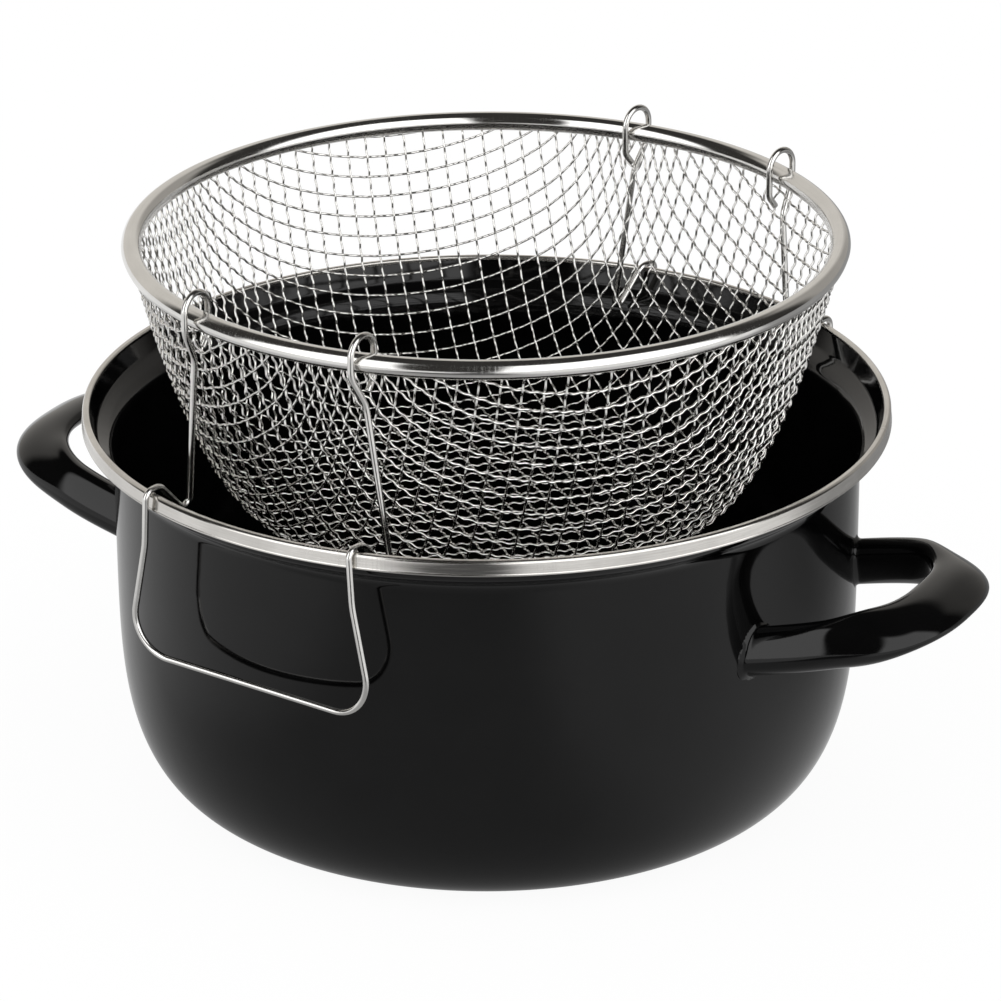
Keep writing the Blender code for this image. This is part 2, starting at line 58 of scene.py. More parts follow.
# How finely round shapes are made
TURN_STEPS = 256
CURVE_STEPS = 44
BEND_STEP = math.radians(7.0)
STRAIGHT_ENOUGH = math.radians(0.5)
SAME_PLACE = 0.02 * MM
POLE_JOIN = 0.001 * MM
SHEET_CORNER = math.radians(38.0)
WIRE_CORNER = math.radians(60.0)

# Pot
POT_HEIGHT = 124.0 * MM
BODY_RADIUS = 116.5 * MM
BASE_RADIUS = 90.0 * MM
STRAIGHT_WALL_FROM = 84.0 * MM
BODY_WALL = 1.2 * MM
BASE_RECESS_RADIUS = 74.0 * MM
BASE_RECESS_DEPTH = 0.8 * MM
BASE_STEP_ROUNDING = 1.6 * MM
CURVE_POWER_ACROSS = 2.0
CURVE_POWER_UP = 4.0

# Lip: the wall flares out to a shoulder, LIP_SLOPE from upright, then stands up steeply
LIP_BEND_RADIUS = 5.0 * MM
LIP_SLOPE = math.radians(61.0)
LIP_SHOULDER_RADIUS = 122.5 * MM
LIP_SHOULDER_HEIGHT = 115.8 * MM
LIP_SHOULDER_BEND = 3.5 * MM
LIP_EDGE_RADIUS = 125.3 * MM
LIP_EDGE_HEIGHT = 123.3 * MM

# Trim: each corner of its section is (in from its edge, down from its top, bend) in millimetres
TRIM_RADIUS = 126.0 * MM
TRIM_SECTION = (
    (2.6, 1.4, 0.1),  # inside, at the cut edge
    (2.6, 0.0, 0.9),  # inside, at the top
    (0.35, 0.0, 1.3),  # outside, at the top
    (0.22, 2.0, 8.0),  # belly of the outer face
    (0.1, 4.0, 0.8),  # where the bead starts
    (0.0, 4.25, 0.2),  # upper side of the bead
    (0.0, 4.7, 0.25),  # lower side of the bead
    (0.6, 5.0, 0.1),  # under the bead
    (2.9, 4.9, 0.1),  # end of the hem, below
    (2.9, 4.5, 0.1),  # end of the hem, above
    (0.8, 4.5, 0.1),  # hidden face, over the hem
    (0.7, 1.6, 0.6),  # hidden face, where it turns in
    (2.2, 1.0, 0.3),  # hidden face, under the top
    (2.2, 1.4, 0.1),  # hidden face, at the cut edge
)

# Handles: a section is (long way, short way), and it leans from upright
HANDLE_REACH = 165.05 * MM
HANDLE_HALF_SPREAD = 36.8 * MM
HANDLE_ROOT_RADIUS = 107.1 * MM
HANDLE_ROOT_HEIGHT = 74.8 * MM
HANDLE_TIP_HEIGHT = 87.5 * MM
HANDLE_ROOT_SECTION = (14.8 * MM, 10.6 * MM)
HANDLE_TIP_SECTION = (18.7 * MM, 7.7 * MM)
HANDLE_ROOT_LEAN = math.radians(20.5)
HANDLE_TIP_LEAN = math.radians(71.0)
HANDLE_PLAN_POWER = 2.7
HANDLE_ROOT_POWER = 2.7
HANDLE_TIP_POWER = 2.0
HANDLE_TWIST_START = 0.49
HANDLE_STATIONS = 160
HANDLE_SIDES = 44
HANDLE_END_CROWDING = 0.8
HANDLE_SINK = 0.5 * MM
HANDLE_FILLET = 1.5 * MM

# Basket's rim: where its tube narrows is a share of the way round, from the lap's edge
BASKET_RIM_HEIGHT = 176.7 * MM
BASKET_RIM_RADIUS = 108.8 * MM
BASKET_RIM_TUBE = 3.1 * MM
RIM_LAP = 0.2 * MM
RIM_LAP_ANGLE = math.radians(3.0)
RIM_LAP_CORNERS = (math.radians(-0.5), math.radians(1.0))
RIM_NARROWS = (0.6, 0.76)
RIM_SIDES = 72

# Basket's bowl
BASKET_FLOOR_HEIGHT = 92.4 * MM
BASKET_FLOOR_RADIUS = 68.8 * MM
MESH_TOP_HEIGHT = 174.9 * MM
MESH_END_HEIGHT = 175.6 * MM
BOWL_WIDE = BASKET_RIM_RADIUS - BASKET_FLOOR_RADIUS
BOWL_RISE = MESH_TOP_HEIGHT - BASKET_FLOOR_HEIGHT

# The basket's cloth: a square weave that was pressed into the bowl a little askew
CLOTH_PITCH = 6.53 * MM
CLOTH_WIRE_RADIUS = 0.37 * MM
CLOTH_WIRE_SIDES = 7
CLOTH_CRIMP = 0.28 * MM
HALF_WAVES_PER_CELL = 3
CLOTH_TURN = math.radians(42.4)
CLOTH_SHEAR = math.radians(5.6)
CLOTH_TWIST = math.radians(2.1)
CLOTH_TWIST_FROM = 60.0 * MM
CLOTH_SPARE = 1.05
EYE_HOLE_RADIUS = 2.5 * MM
EYE_HOLE_REACH = 6 * EYE_HOLE_RADIUS
EYE_HOLE_DROP = 8.6 * MM
EYE_HOLE_MIDDLE = 0.01 * MM

# How the nodes of the cloth are found, which lie closer together than its crossings
NODES_PER_CELL = 4
POINTS_PER_NODE = 3
FIRST_NODE = 1
ARC_STEPS = 6
NODE_TRIES = 6
NODE_TRIAL_PARTS = 100
NODE_MISS = 1e-8
NODE_IN_LINE = 1e-6

# Bails: a radius is taken from the Z axis and aside means from the bail's middle. The grip lies in
# one plane, which is GRIP_RADIUS from the axis at GRIP_PLANE_ASIDE
BAIL_WIRE = 1.0 * MM
BAIL_SIDES = 20
FRONT_BAIL_DIRECTION = math.radians(-97.5)
REAR_BAIL_DIRECTION = math.radians(74.8)
EYE_HALF_SPREAD = 30.5 * MM
EYE_HALF_WIDTH = 5.6 * MM
EYE_RISE = 8.3 * MM
EYE_DROP = 6.0 * MM
EYE_END_LENGTH = 4.7 * MM
EYE_END_SLANT = math.radians(40.0)
EYE_END_BEND = 3.0 * MM
LEG_BEND_DROP = 3.0 * MM
LEG_TOP_DROP = 13.0 * MM
LEG_TOP_ASIDE = 31.6 * MM
LEG_BEND = 9.0 * MM
FOOT_RADIUS = 108.3 * MM
FOOT_ASIDE = 38.0 * MM
FOOT_HEIGHT = 110.8 * MM
FOOT_BEND = 2.5 * MM
HOOK_RADIUS = 121.3 * MM
HOOK_ASIDE = 37.6 * MM
HOOK_HEIGHT = 125.3 * MM
HOOK_INNER_BEND = 5.0 * MM
HOOK_OUTER_BEND = 2.6 * MM
GRIP_RADIUS = 127.3 * MM
GRIP_PLANE_ASIDE = 36.6 * MM
GRIP_TOP_ASIDE = 38.6 * MM
GRIP_TOP_HEIGHT = 108.0 * MM
GRIP_TOP_BEND = 30.0 * MM
GRIP_ASIDE = 46.0 * MM
GRIP_HEIGHT = 72.5 * MM
GRIP_BEND = 12.0 * MM

# Enamel: clouds, speckle and waves are counted by the metre
ENAMEL_SHINE = 0.33
ENAMEL_REFRACTION = 1.5
ENAMEL_CLOUDS = 55.0
ENAMEL_SPECKLE = 900.0
ENAMEL_SPECKLE_DULLNESS = 0.035
ENAMEL_WAVES = 140.0
ENAMEL_WAVE_STRENGTH = 0.06
ENAMEL_WAVE_DEPTH = 0.4 * MM

# Bright sheet: a pair is where a pattern's value starts and ends to show
SHEET_GRAIN = 0.6
SHEET_CLOUDS = 60.0
SHEET_CLOUD_TONE = 0.4
SHEET_CLOUD_GLOSS = 0.7
SHEET_STREAK_TONE = 0.5
SHEET_STREAK_STRENGTH = 0.05
SHEET_STREAK_DEPTH = 0.05 * MM
MARKS_ROUND = 260.0
MARKS_ACROSS = 60.0
MARKS_DULLNESS = 0.12
MARKS_EDGE = (0.45, 0.7)
MARKED_PATCHES = 24.0
MARKED_PATCH_EDGE = (0.42, 0.62)

# Drawn wire: its gloss changes in patches so many times finer than those of its tone
WIRE_GLOSS_FINER = 4

# Camera: angles are in radians, and its distances are in radii of the trim
SENSOR_WIDTH = 36.0
FOCAL_LENGTH_PIXELS = 4993.5
PHOTO_WIDTH_PIXELS = 1001
CAMERA_DIRECTION = math.radians(28.0)
CAMERA_PITCH = 0.4104
CAMERA_YAW = 0.0029
CAMERA_ROLL = -0.0039
CAMERA_BACK = 11.42
CAMERA_OVER_RIM = 4.6878
CAMERA_RANGE = (0.05, 50.0)

# Lamps
SOFTBOX_BRIGHT = 0.7
SOFTBOX_SIZE = (1.5, 1.6)
SOFTBOX_ASIDE = 1.0
SOFTBOX_NEAR = 0.9
SOFTBOX_HEIGHT = 1.6
SOFTBOX_TARGET = (0, 0, 0.12)

# Room in reflections
# Brightness is radiance, where 1 renders as white. A pair is where a fade starts and ends, in
# parts of a unit direction to the right, towards the camera or up. Each edge of the gap is given
# as how far right or left it lies for one step towards the camera, and its tilt for one step up
ROOM_LIGHT = 0.6
ROOM_DARK = 0.035
BOX_BRIGHT = 2.0
BOX_EDGE = (-0.03, 0.07)
BOX_NEAR = (0.12, 0.28)
BOX_TOP = (0.83, 0.91)
GAP_RIGHT = 0.05
GAP_RIGHT_TILT = 0.06
GAP_LEFT = 0.466
GAP_LEFT_TILT = 0.12
WALL_BRIGHT = 0.72
WALL_TOP = (0.6, 0.76)
WALL_NEAR = (-0.54, -0.3)
WALL_DARK_RIGHT = (0.15, 0.45)
WALL_DARK_SHARE = 0.55
WALL_COLOUR = (1.0, 0.96, 0.9)

# Floor
# In reflections the floor glows with painted light and shade: a painted shadow of the pot near it,
# painted shade in the camera's gap and to the right behind the pot, and painted light below the
# softboxes and the wall. The NEAR_POT and FAR_OUT pairs are its brightness in reflections, first in
# its painted shade and then in its lit part. The other pairs are where a fade starts and ends, in
# metres
FLOOR_HALF_WIDTH = 6.0
FLOOR_HEIGHT = -0.02 * MM
FLOOR_PAINT = (0.8, 0.8, 0.8, 1)
FLOOR_WHITE = 1.05
FLOOR_GLOW_SHARE = 0.9
FLOOR_PAINTED_LIGHT_NEAR_POT = (0.38, 0.65)
FLOOR_PAINTED_LIGHT_FAR_OUT = (0.03, 1.0)
FLOOR_FAR_REACH = (0.3, 0.42)
FLOOR_GAP_MIDDLE = -0.06
FLOOR_GAP_REACH = (0.06, 0.2)
FLOOR_GAP_FRONT = (-0.1, 0.1)
FLOOR_PAINTED_SHADE_RIGHT = (0.08, 0.26)
FLOOR_PAINTED_SHADE_BEHIND = (0.12, -0.04)
FLOOR_PAINTED_SHADE_SHARE = 0.7


# Small helpers


def link(thing):
    bpy.context.scene.collection.objects.link(thing)
    return thing


def object_from(name, points, faces=(), edges=()):
    mesh = bpy.data.meshes.new(name)
    mesh.from_pydata(points, edges, faces)
    mesh.update()
    return link(bpy.data.objects.new(name, mesh))


def shade(thing):
    """Smooth, but sharp at the corners of the sheet."""
    thing.data.shade_smooth()
    thing.data.set_sharp_from_angle(angle=SHEET_CORNER)


def outwards(thing, join=0.0):
    """Merges doubles if asked to, and turns the faces of a closed piece outwards."""
    shape = bmesh.new()
    shape.from_mesh(thing.data)
    if join:
        bmesh.ops.remove_doubles(shape, verts=shape.verts, dist=join)
    bmesh.ops.recalc_face_normals(shape, faces=shape.faces)
    shape.to_mesh(thing.data)
    shape.free()


def flattened(share, power):
    """Turns the cosine or sine of an ellipse into that of an outline with flatter sides."""
    return math.copysign(abs(share) ** (2 / power), share)


def bend(before, corner, after, radius):
    """The points of an arc that rounds the corner of three points, in any plane."""
    to_start = (before - corner).normalized()
    to_end = (after - corner).normalized()
    turn = math.pi - to_start.angle(to_end)
    if turn < STRAIGHT_ENOUGH:
        return [corner]
    room = min((before - corner).length, (after - corner).length) / 2
    reach = min(radius * math.tan(turn / 2), room)
    radius = reach / math.tan(turn / 2)
    centre = corner + (to_start + to_end).normalized() * radius / math.cos(turn / 2)
    start = corner + to_start * reach - centre
    side = (corner + to_end * reach - centre) - start * math.cos(turn)
    side = side.normalized() * radius
    steps = max(2, math.ceil(turn / BEND_STEP))
    angles = [turn * place / steps for place in range(steps + 1)]
    return [centre + start * math.cos(a) + side * math.sin(a) for a in angles]


def rounded(corners, closed=False):
    """A line through (point, bend radius) corners with each corner rounded."""
    count = len(corners)
    line = []
    for place, (corner, radius) in enumerate(corners):
        if not closed and place in (0, count - 1) or not radius:
            line.append(corner)
            continue
        before = corners[place - 1][0]
        after = corners[(place + 1) % count][0]
        line += bend(before, corner, after, radius)
    return line


def turned(name, profile, closed):
    """Spins a profile of (radius, height) round the Z axis. An open one starts and ends on it."""
    rings = len(profile)
    points = []
    for step in range(TURN_STEPS):
        a = math.tau * step / TURN_STEPS
        points += [(r * math.cos(a), r * math.sin(a), z) for r, z in profile]
    faces = []
    for step in range(TURN_STEPS):
        here, there = step * rings, (step + 1) % TURN_STEPS * rings
        for place in range(rings if closed else rings - 1):
            onward = (place + 1) % rings
            faces.append((here + place, there + place, there + onward, here + onward))
    thing = object_from(name, points, faces)
    outwards(thing, join=0.0 if closed else POLE_JOIN)
    shade(thing)
    return thing


# Materials


class Nodes:
    """Adds nodes to a tree, each with its settings and inputs in one call."""

    def __init__(self, tree):
        self.tree = tree

    def add(self, kind, inputs=(), **settings):
        node = self.tree.nodes.new(kind)
        for key, value in settings.items():
            setattr(node, key, value)
        for key, value in dict(inputs).items():
            if isinstance(value, bpy.types.NodeSocket):
                self.tree.links.new(value, node.inputs[key])
            else:
                node.inputs[key].default_value = value
        return node

    def result(self, kind, inputs=(), **settings):
        """The first output of a new node."""
        return self.add(kind, inputs, **settings).outputs[0]

    def math(self, operation, first, second):
        return self.result("ShaderNodeMath", {0: first, 1: second}, operation=operation)

    def times(self, product, *others):
        for other in others:
            product = self.math("MULTIPLY", product, other)
        return product

    def ramp(self, value, start, end, low, high):
        """A soft step from low to high, or down where low is the larger one."""
        inputs = {"Value": value, "From Min": start, "From Max": end, "To Min": low, "To Max": high}
        return self.result("ShaderNodeMapRange", inputs, interpolation_type="SMOOTHSTEP")

    def length(self, vector):
        node = self.add("ShaderNodeVectorMath", {0: vector}, operation="LENGTH")
        return node.outputs["Value"]

    def along(self, vector, axis):
        """How far a vector reaches along an axis."""
        inputs = {0: vector, 1: tuple(axis)}
        return self.add("ShaderNodeVectorMath", inputs, operation="DOT_PRODUCT").outputs["Value"]

    def mix(self, share, first, second):
        return self.result("ShaderNodeMixShader", {0: share, 1: first, 2: second})


class Finish(Nodes):
    """A Principled material with room for the nodes that feed it."""

    def __init__(self, name):
        self.material = bpy.data.materials.new(name)
        self.material.use_nodes = True
        super().__init__(self.material.node_tree)
        self.shader = self.tree.nodes["Principled BSDF"]
        self.place = self.add("ShaderNodeTexCoord").outputs["Object"]

    def set(self, **values):
        """Sets the shader's sockets, named with _ for each space."""
        for key, value in values.items():
            self.shader.inputs[key.replace("_", " ")].default_value = value

    def feed(self, socket, value):
        self.tree.links.new(value, self.shader.inputs[socket])

    def noise(self, scale, detail=2.0, vector=None, roughness=0.5):
        inputs = {"Vector": vector or self.place, "Scale": scale, "Detail": detail}
        inputs["Roughness"] = roughness
        return self.result("ShaderNodeTexNoise", inputs)

    def spread(self, value, low, high, start=0.3, end=0.7):
        """Spreads a noise, which lies mostly between 0.3 and 0.7, evenly from low to high."""
        inputs = {"Value": value, "From Min": start, "From Max": end}
        inputs.update({"To Min": low, "To Max": high})
        return self.result("ShaderNodeMapRange", inputs)

    def blend(self, share, first, second):
        """Two colours mixed. The node's sockets for them are inputs 6 and 7 and output 2."""
        node = self.add("ShaderNodeMix", {"Factor": share}, data_type="RGBA")
        node.inputs[6].default_value = (*first, 1)
        node.inputs[7].default_value = (*second, 1)
        return node.outputs[2]

    def round_the_pot(self, along, across):
        """Object coordinates whose pattern runs in long streaks round the Z axis."""
        parts = self.add("ShaderNodeSeparateXYZ", {0: self.place}).outputs
        level = self.result("ShaderNodeCombineXYZ", {"X": parts["X"], "Y": parts["Y"]})
        climb = self.math("ADD", parts["Z"], self.length(level))
        lift = self.result("ShaderNodeCombineXYZ", {"Z": self.math("MULTIPLY", climb, across)})
        unit = self.result("ShaderNodeVectorMath", {0: level}, operation="NORMALIZE")
        stretched = {0: unit, "Scale": along}
        around = self.result("ShaderNodeVectorMath", stretched, operation="SCALE")
        return self.result("ShaderNodeVectorMath", {0: around, 1: lift}, operation="ADD")

    def bump(self, height, strength, distance):
        inputs = {"Height": height, "Strength": strength, "Distance": distance}
        self.feed("Normal", self.result("ShaderNodeBump", inputs))


def enamel(name, dark, light, gloss):
    """Fired black enamel: deep gloss, a faint orange-peel wave and a trace of fine speckle."""
    look = Finish(name)
    look.set(Metallic=0.0, Specular_IOR_Level=ENAMEL_SHINE, IOR=ENAMEL_REFRACTION)
    cloud = look.noise(ENAMEL_CLOUDS, detail=3.0)
    look.feed("Base Color", look.blend(look.spread(cloud, 0.0, 1.0), dark, light))
    speckle = look.noise(ENAMEL_SPECKLE)
    look.feed("Roughness", look.spread(speckle, gloss, gloss + ENAMEL_SPECKLE_DULLNESS))
    waves = look.noise(ENAMEL_WAVES, detail=1.0)
    look.bump(waves, ENAMEL_WAVE_STRENGTH, ENAMEL_WAVE_DEPTH)
    return look.material


def polished(name, bright, dull, low, high, along, across):
    """Sheet steel polished round the pot: long faint streaks in tone and gloss, dull patches
    and, in places, short marks left across it by the polishing wheel. Its roughness runs from
    low to high."""
    look = Finish(name)
    look.set(Metallic=1.0)
    streak = look.noise(1.0, 3.0, look.round_the_pot(along, across), SHEET_GRAIN)
    cloud = look.noise(SHEET_CLOUDS, detail=3.0)
    marks = look.noise(1.0, 2.0, look.round_the_pot(MARKS_ROUND, MARKS_ACROSS), SHEET_GRAIN)
    patches = look.noise(MARKED_PATCHES, detail=1.0)
    where = look.spread(patches, 0.0, 1.0, *MARKED_PATCH_EDGE)
    marked = look.times(look.spread(marks, 0.0, 1.0, *MARKS_EDGE), where)
    streak_tone = look.spread(streak, SHEET_STREAK_TONE, 1.0)
    cloud_tone = look.spread(cloud, SHEET_CLOUD_TONE, 1.0)
    look.feed("Base Color", look.blend(look.times(streak_tone, cloud_tone), dull, bright))
    fading = look.spread(cloud, 1.0, SHEET_CLOUD_GLOSS)
    gloss = look.spread(look.times(streak, fading), low, high)
    added = {0: marked, 1: MARKS_DULLNESS, 2: gloss}
    look.feed("Roughness", look.result("ShaderNodeMath", added, operation="MULTIPLY_ADD"))
    look.bump(streak, SHEET_STREAK_STRENGTH, SHEET_STREAK_DEPTH)
    return look.material


def drawn_wire(name, bright, dull, low, high, patches):
    """Drawn stainless wire, a little duller in patches. Its roughness runs from low to high."""
    look = Finish(name)
    look.set(Metallic=1.0)
    tone = look.spread(look.noise(patches, detail=3.0), 0.0, 1.0)
    look.feed("Base Color", look.blend(tone, dull, bright))
    look.feed("Roughness", look.spread(look.noise(patches * WIRE_GLOSS_FINER), low, high))
    return look.material


# A tree that sweeps a round wire along lines


def wire_tree():
    """Lines of points become round wires. Each point may stand off along its own 'facing' by
    'wave' times the crimp height, as a woven wire does where it passes over another."""
    tree = bpy.data.node_groups.new("wire_along_lines", "GeometryNodeTree")
    face = tree.interface
    face.new_socket("Geometry", in_out="INPUT", socket_type="NodeSocketGeometry")
    for name, kind in (
        ("Wire Radius", "Float"),
        ("Crimp Height", "Float"),
        ("Sides", "Int"),
        ("Finish", "Material"),
    ):
        face.new_socket(name, in_out="INPUT", socket_type="NodeSocket" + kind)
    face.new_socket("Geometry", in_out="OUTPUT", socket_type="NodeSocketGeometry")
    nodes = Nodes(tree)
    ends = nodes.add("NodeGroupInput").outputs

    def attribute(name, kind):
        node = nodes.add("GeometryNodeInputNamedAttribute", {"Name": name}, data_type=kind)
        return next(out for out in node.outputs if out.enabled and out.name == "Attribute")

    height = nodes.math("MULTIPLY", attribute("wave", "FLOAT"), ends["Crimp Height"])
    standing_off = {0: attribute("facing", "FLOAT_VECTOR"), "Scale": height}
    offset = nodes.result("ShaderNodeVectorMath", standing_off, operation="SCALE")
    crimped = nodes.result("GeometryNodeSetPosition", {0: ends["Geometry"], "Offset": offset})
    lines = nodes.result("GeometryNodeMeshToCurve", {0: crimped})
    ring = {"Resolution": ends["Sides"], "Radius": ends["Wire Radius"]}
    round_wire = nodes.result("GeometryNodeCurvePrimitiveCircle", ring, mode="RADIUS")
    sweep = {"Curve": lines, "Profile Curve": round_wire, "Fill Caps": True}
    swept = nodes.result("GeometryNodeCurveToMesh", sweep)
    smooth = nodes.result("GeometryNodeSetShadeSmooth", {0: swept})
    real = nodes.result("GeometryNodeRealizeInstances", {0: smooth})
    painted = nodes.result("GeometryNodeSetMaterial", {0: real, "Material": ends["Finish"]})
    nodes.add("NodeGroupOutput", {0: painted})
    return tree


WIRE_TREE = wire_tree()


def wires(name, lines, radius, sides, finish, crimp=0.0):
    """One piece of round wires along lines of (point, facing, wave)."""
    points = [p for line in lines for p, _, _ in line]
    edges = []
    start = 0
    for line in lines:
        edges += [(start + i, start + i + 1) for i in range(len(line) - 1)]
        start += len(line)
    thing = object_from(name + ".lines", points, edges=edges)
    waves = [wave for line in lines for _, _, wave in line]
    facings = [c for line in lines for _, facing, _ in line for c in facing]
    thing.data.attributes.new("wave", "FLOAT", "POINT").data.foreach_set("value", waves)
    thing.data.attributes.new("facing", "FLOAT_VECTOR", "POINT").data.foreach_set(
        "vector", facings
    )
    modifier = thing.modifiers.new("wire", "NODES")
    modifier.node_group = WIRE_TREE
    given = {"Wire Radius": radius, "Crimp Height": crimp, "Sides": sides, "Finish": finish}
    for item in WIRE_TREE.interface.items_tree:
        if item.in_out == "INPUT" and item.name in given:
            modifier[item.identifier] = given[item.name]
    graph = bpy.context.evaluated_depsgraph_get()
    mesh = bpy.data.meshes.new_from_object(thing.evaluated_get(graph))
    bpy.data.objects.remove(thing)
    mesh.name = name
    for extra in ("wave", "facing"):
        if extra in mesh.attributes:
            mesh.attributes.remove(mesh.attributes[extra])
    done = link(bpy.data.objects.new(name, mesh))
    mesh.set_sharp_from_angle(angle=WIRE_CORNER)
    return done


# Pot


def body_radius_at(height):
    """The outside of the pot below its lip."""
    if height >= STRAIGHT_WALL_FROM:
        return BODY_RADIUS
    left = 1 - max(height, 0) / STRAIGHT_WALL_FROM
    cosine = left ** (CURVE_POWER_UP / 2)
    sine = math.sqrt(1 - cosine * cosine)
    return BASE_RADIUS + (BODY_RADIUS - BASE_RADIUS) * sine ** (2 / CURVE_POWER_ACROSS)


def flat(radius, height):
    """A point of a section, so that the helpers for lines can round it."""
    return Vector((radius, height, 0))


def lip_corners():
    """The wall flares out widely, then stands up steeply inside the trim."""
    drop = (LIP_SHOULDER_RADIUS - BODY_RADIUS) / math.tan(LIP_SLOPE)
    foot = flat(BODY_RADIUS, LIP_SHOULDER_HEIGHT - drop)
    shoulder = flat(LIP_SHOULDER_RADIUS, LIP_SHOULDER_HEIGHT)
    return [(foot, LIP_BEND_RADIUS), (shoulder, LIP_SHOULDER_BEND)]


def beside(line, distance):
    """A flat line moved sideways, to the left of the way it runs."""
    moved = []
    for place, point in enumerate(line):
        ahead = line[min(place + 1, len(line) - 1)] - line[max(place - 1, 0)]
        left = UP.cross(ahead).normalized()
        moved.append(point + left * distance)
    return moved


def outer_wall():
    """From the base's edge up the curved and the straight wall to the lip's edge."""
    line = []
    for step in range(CURVE_STEPS):
        angle = math.pi / 2 * step / CURVE_STEPS
        across = flattened(math.sin(angle), CURVE_POWER_ACROSS)
        up = 1 - flattened(math.cos(angle), CURVE_POWER_UP)
        radius = BASE_RADIUS + (BODY_RADIUS - BASE_RADIUS) * across
        line.append(flat(radius, STRAIGHT_WALL_FROM * up))
    foot = (flat(BODY_RADIUS, STRAIGHT_WALL_FROM), 0)
    top = (flat(LIP_EDGE_RADIUS, LIP_EDGE_HEIGHT), 0)
    return line + rounded([foot] + lip_corners() + [top])


def base_profile(lift):
    """From the middle of the base out to where the foot ring starts, pressed up a little."""
    edge = BASE_RECESS_RADIUS
    high = lift + BASE_RECESS_DEPTH
    return rounded([
        (flat(0, high), 0),
        (flat(edge - 2 * BASE_STEP_ROUNDING, high), BASE_STEP_ROUNDING),
        (flat(edge, lift), BASE_STEP_ROUNDING),
        (flat(edge + 2 * BASE_STEP_ROUNDING, lift), 0),
    ])


def pot_body(finish):
    """The bowl of one sheet, from its recessed base to its flared lip."""
    outside = outer_wall()
    inside = beside(outside, BODY_WALL)
    inside[0] = flat(BASE_RADIUS, BODY_WALL)
    profile = base_profile(0) + outside + inside[::-1] + base_profile(BODY_WALL)[::-1]
    thing = turned("pot_shell", [(p.x, p.y) for p in profile], False)
    thing.data.materials.append(finish)
    return thing


def trim(finish):
    """The bright band: rolled over the lip's edge, a little bellied outside, with a fine bead
    along its foot and a hem turned in below."""
    corners = [
        (flat(TRIM_RADIUS - inset * MM, POT_HEIGHT - drop * MM), radius * MM)
        for inset, drop, radius in TRIM_SECTION
    ]
    profile = [(p.x, p.y) for p in rounded(corners, closed=True)]
    thing = turned("rim_trim_band", profile, True)
    thing.data.materials.append(finish)
    return thing


# Handles


def tip_half_width():
    """How far the leaning tip section stands out from its middle."""
    power = HANDLE_TIP_POWER / (HANDLE_TIP_POWER - 1)
    wide = HANDLE_TIP_SECTION[0] / 2 * math.sin(HANDLE_TIP_LEAN)
    thick = HANDLE_TIP_SECTION[1] / 2 * math.cos(HANDLE_TIP_LEAN)
    return (wide**power + thick**power) ** (1 / power)


def handle_place(angle):
    """Middle of the handle at one station, with how far out it has come."""
    reach = HANDLE_REACH - tip_half_width()
    across = flattened(math.cos(angle), HANDLE_PLAN_POWER)
    out = flattened(max(math.sin(angle), 0.0), HANDLE_PLAN_POWER)
    radius = HANDLE_ROOT_RADIUS + (reach - HANDLE_ROOT_RADIUS) * out
    height = HANDLE_ROOT_HEIGHT + (HANDLE_TIP_HEIGHT - HANDLE_ROOT_HEIGHT) * out
    return Vector((radius, HANDLE_HALF_SPREAD * across, height)), out


def handle_ring(places, step):
    """The section at one station, across the way the handle runs there. It twists, widens and
    grows rounder towards the tip."""
    place, out = places[step]
    along = places[min(step + 1, len(places) - 1)][0] - places[max(step - 1, 0)][0]
    along.normalize()
    up = (UP - along * along.z).normalized()
    outward = along.cross(up)
    if outward.dot(place - Vector((BODY_RADIUS, 0, place.z))) < 0:
        outward = -outward
    late = min(max((out - HANDLE_TWIST_START) / (1 - HANDLE_TWIST_START), 0), 1)
    ease = late * late * (3 - 2 * late)
    lean = HANDLE_ROOT_LEAN + (HANDLE_TIP_LEAN - HANDLE_ROOT_LEAN) * ease
    long_way = up * math.cos(lean) - outward * math.sin(lean)
    short_way = up * math.sin(lean) + outward * math.cos(lean)
    long_half, short_half = (
        (root + (tip - root) * ease) / 2
        for root, tip in zip(HANDLE_ROOT_SECTION, HANDLE_TIP_SECTION)
    )
    power = HANDLE_ROOT_POWER + (HANDLE_TIP_POWER - HANDLE_ROOT_POWER) * ease
    ring = []
    for side in range(HANDLE_SIDES):
        angle = math.tau * side / HANDLE_SIDES
        tall = long_way * long_half * flattened(math.cos(angle), power)
        thick = short_way * short_half * flattened(math.sin(angle), power)
        ring.append(seated(place + tall + thick, place))
    return ring


def seated(point, middle):
    """Flares the section into the body with a small fillet and ends it in the body's wall."""
    radius = math.hypot(point.x, point.y)
    wall = body_radius_at(point.z)
    rise = radius - wall
    if rise < HANDLE_FILLET:
        short = min(HANDLE_FILLET - rise, HANDLE_FILLET)
        flare = HANDLE_FILLET - math.sqrt(HANDLE_FILLET**2 - short**2)
        away = point - middle
        away.x = 0
        point = point + away.normalized() * flare
    radius = math.hypot(point.x, point.y)
    least = body_radius_at(point.z) - HANDLE_SINK
    if radius < least:
        point = Vector((point.x * least / radius, point.y * least / radius, point.z))
    return point


def handle(name, turn, finish):
    """One loop, made on the right and turned to its side of the pot. Its stations lie closer
    together where it meets the body."""
    places = []
    for step in range(HANDLE_STATIONS):
        share = step / (HANDLE_STATIONS - 1)
        crowd = HANDLE_END_CROWDING * math.sin(math.tau * share) / math.tau
        places.append(handle_place(math.pi * (share - crowd)))
    points = []
    for step in range(HANDLE_STATIONS):
        points += handle_ring(places, step)
    faces = []
    for step in range(HANDLE_STATIONS - 1):
        for side in range(HANDLE_SIDES):
            onward = (side + 1) % HANDLE_SIDES
            here, there = step * HANDLE_SIDES, (step + 1) * HANDLE_SIDES
            faces.append((here + side, here + onward, there + onward, there + side))
    faces.append(tuple(range(HANDLE_SIDES)))
    last = (HANDLE_STATIONS - 1) * HANDLE_SIDES
    faces.append(tuple(last + side for side in range(HANDLE_SIDES)))
    spin = Matrix.Rotation(turn, 4, "Z")
    thing = object_from(name, [spin @ p for p in points], faces)
    outwards(thing)
    shade(thing)
    thing.data.materials.append(finish)
    return thing


# Basket


